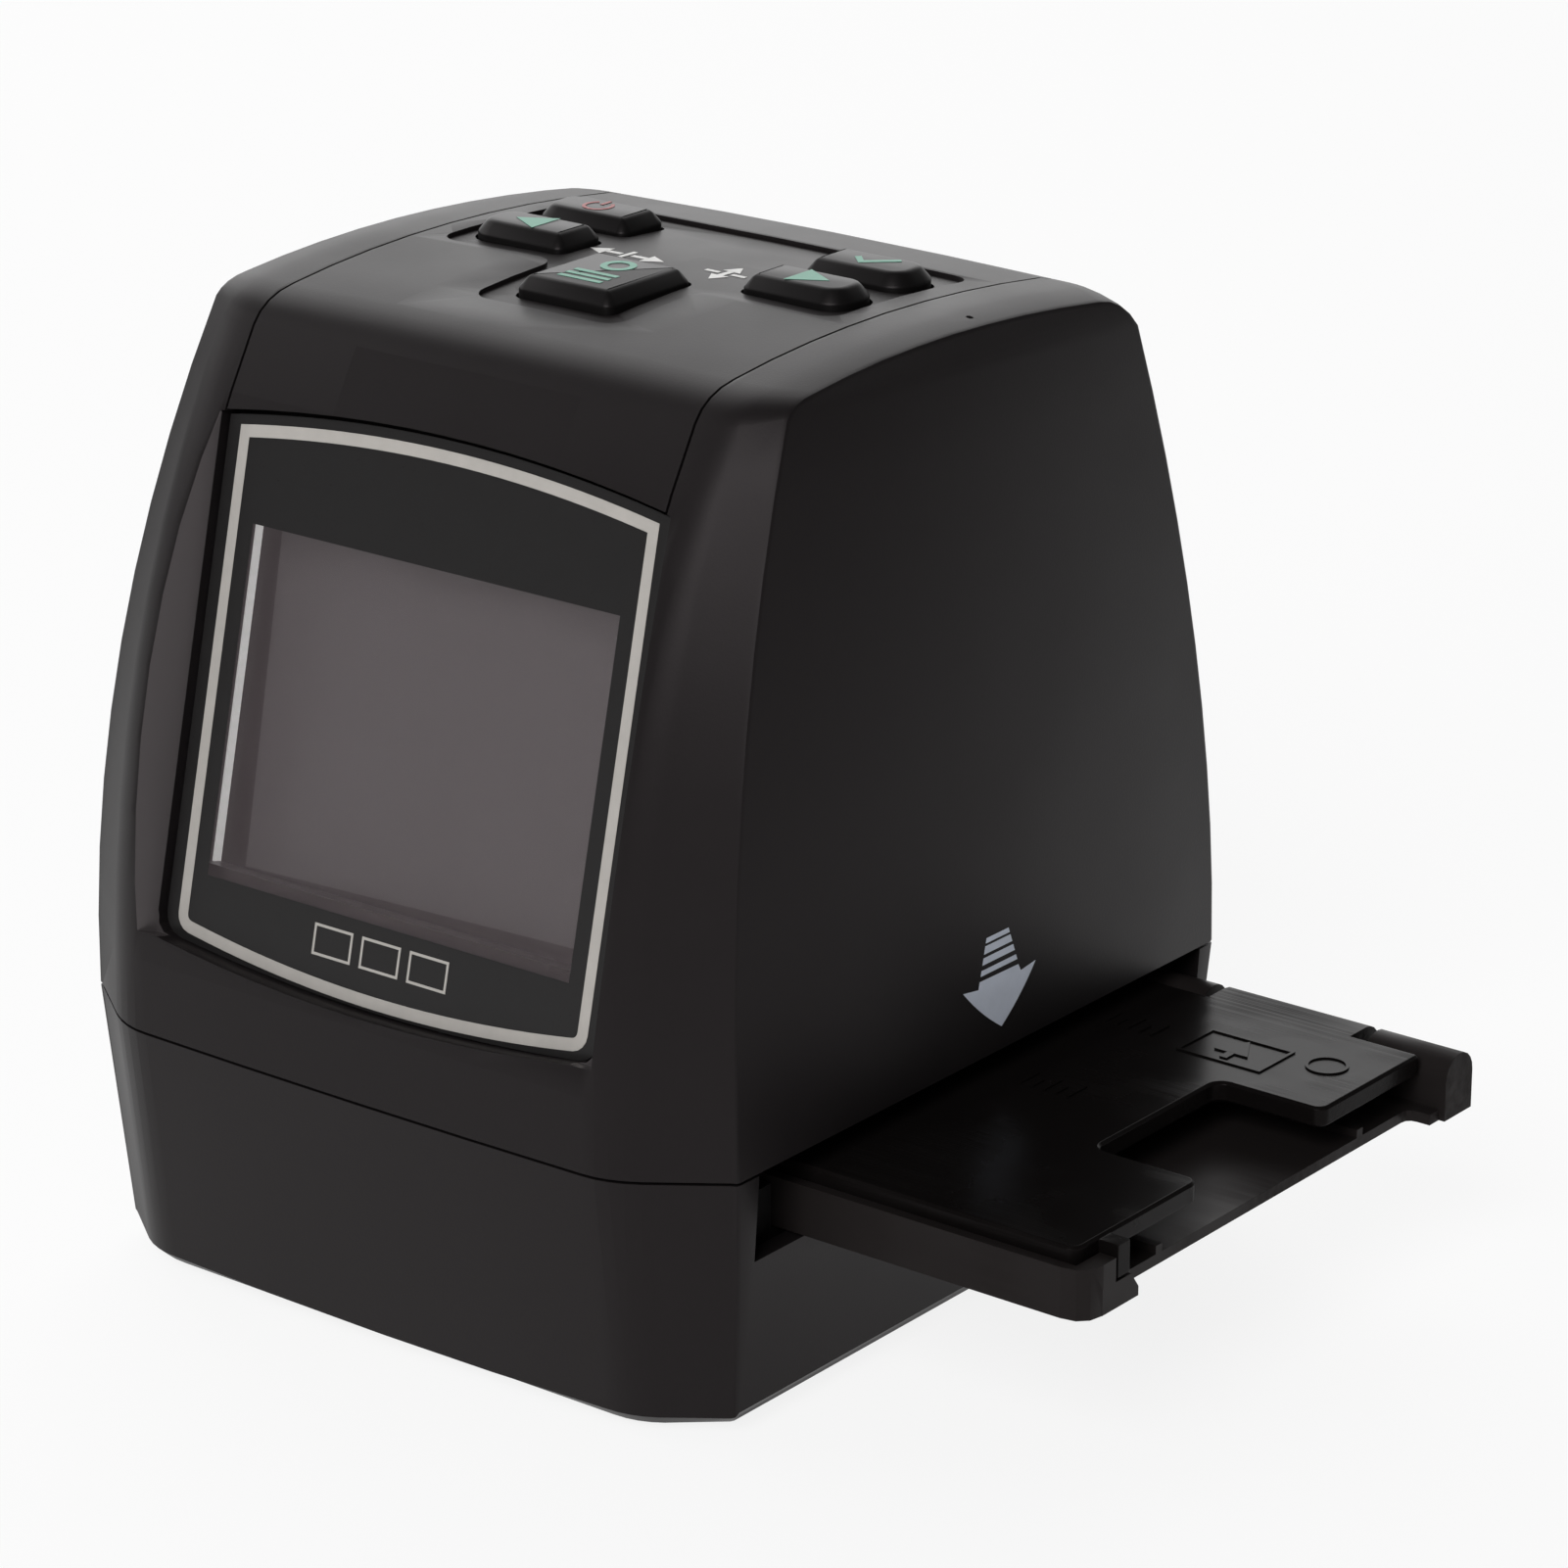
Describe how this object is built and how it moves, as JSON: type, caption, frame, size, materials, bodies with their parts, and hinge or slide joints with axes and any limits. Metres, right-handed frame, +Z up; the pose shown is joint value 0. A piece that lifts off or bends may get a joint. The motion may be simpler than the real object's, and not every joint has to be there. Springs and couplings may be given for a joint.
{
  "type": "film negative scanner",
  "caption": "Small upright desktop film scanner with a tilted screen, push keys on top and a hinged film adapter sliding through a slot in its base.",
  "frame": {"origin": "middle of the whole scanner's footprint, adapter out as pictured, on the surface it stands on", "axes": "+X towards the side where the adapter sticks out, -Y towards the screen, +Z up"},
  "size_m": [0.1212, 0.0942, 0.107],
  "materials": {
    "body_plastic": "satin black, finely textured",
    "inner_plastic": "black, moulded",
    "screen_plastic": "gloss, printed from behind with a silver frame line",
    "display": "grey display, off",
    "rubber": "matt",
    "steel": "bright",
    "white_plastic": "white, diffusing",
    "board": "green solder mask",
    "switch": "moulded grey",
    "sensor": "gloss",
    "optic_glass": "clear, coated"
  },
  "bodies": {
    "scanner": {"base_housing": "body_plastic", "upper_housing": "body_plastic", "top_cover": "body_plastic", "display_frame": "inner_plastic", "adapter_deck": "inner_plastic", "optic_tower": "inner_plastic", "lens_barrel": "inner_plastic", "av_jack": "inner_plastic", "screen_lens": "screen_plastic", "display_panel": "display", "foot_1": "rubber", "foot_2": "rubber", "foot_3": "rubber", "foot_4": "rubber", "housing_screw_1": "steel", "housing_screw_2": "steel", "display_screw_1": "steel", "display_screw_2": "steel", "key_board_screw_1": "steel", "key_board_screw_2": "steel", "key_board_screw_3": "steel", "sensor_board_screw_1": "steel", "sensor_board_screw_2": "steel", "main_board_screw_1": "steel", "main_board_screw_2": "steel", "main_board_screw_3": "steel", "main_board_screw_4": "steel", "usb_port": "steel", "card_slot": "steel", "light_box": "white_plastic", "diffuser": "white_plastic", "led_1": "white_plastic", "led_2": "white_plastic", "led_3": "white_plastic", "led_4": "white_plastic", "key_board": "board", "led_board": "board", "sensor_board": "board", "main_board": "board", "power_switch": "switch", "left_switch": "switch", "scan_switch": "switch", "right_switch": "switch", "ok_switch": "switch", "image_sensor": "sensor", "lens_glass": "optic_glass"},
    "adapter": {"adapter_base": "body_plastic", "adapter_hinge_pin_1": "steel", "adapter_hinge_pin_2": "steel"},
    "adapter_lid": {"adapter_cover": "inner_plastic"},
    "power_button": {"power_key": "body_plastic"},
    "left_button": {"left_key": "body_plastic"},
    "scan_button": {"scan_key": "body_plastic"},
    "right_button": {"right_key": "body_plastic"},
    "ok_button": {"ok_key": "body_plastic"}
  },
  "joints": [
    {"name": "adapter_slide", "type": "slide", "parent": "scanner", "child": "adapter", "axis": [1, 0, 0], "range_m": [-0.0346, 0.0805]},
    {"name": "adapter_lid_hinge", "type": "hinge", "parent": "adapter", "child": "adapter_lid", "pos_m": [0.04162, 0.0378, 0.0238], "axis": [-1, 0, 0], "range_deg": [0, 1.5]},
    {"name": "power_press", "type": "slide", "parent": "scanner", "child": "power_button", "axis": [0, 0, -1], "range_m": [0, 0.0008], "stiffness_N_per_m": 300, "springref_m": -0.0015},
    {"name": "left_press", "type": "slide", "parent": "scanner", "child": "left_button", "axis": [0, 0, -1], "range_m": [0, 0.0008], "stiffness_N_per_m": 300, "springref_m": -0.0015},
    {"name": "scan_press", "type": "slide", "parent": "scanner", "child": "scan_button", "axis": [0, 0, -1], "range_m": [0, 0.0008], "stiffness_N_per_m": 300, "springref_m": -0.0015},
    {"name": "right_press", "type": "slide", "parent": "scanner", "child": "right_button", "axis": [0, 0, -1], "range_m": [0, 0.0008], "stiffness_N_per_m": 300, "springref_m": -0.0015},
    {"name": "ok_press", "type": "slide", "parent": "scanner", "child": "ok_button", "axis": [0, 0, -1], "range_m": [0, 0.0008], "stiffness_N_per_m": 300, "springref_m": -0.0015}
  ]
}
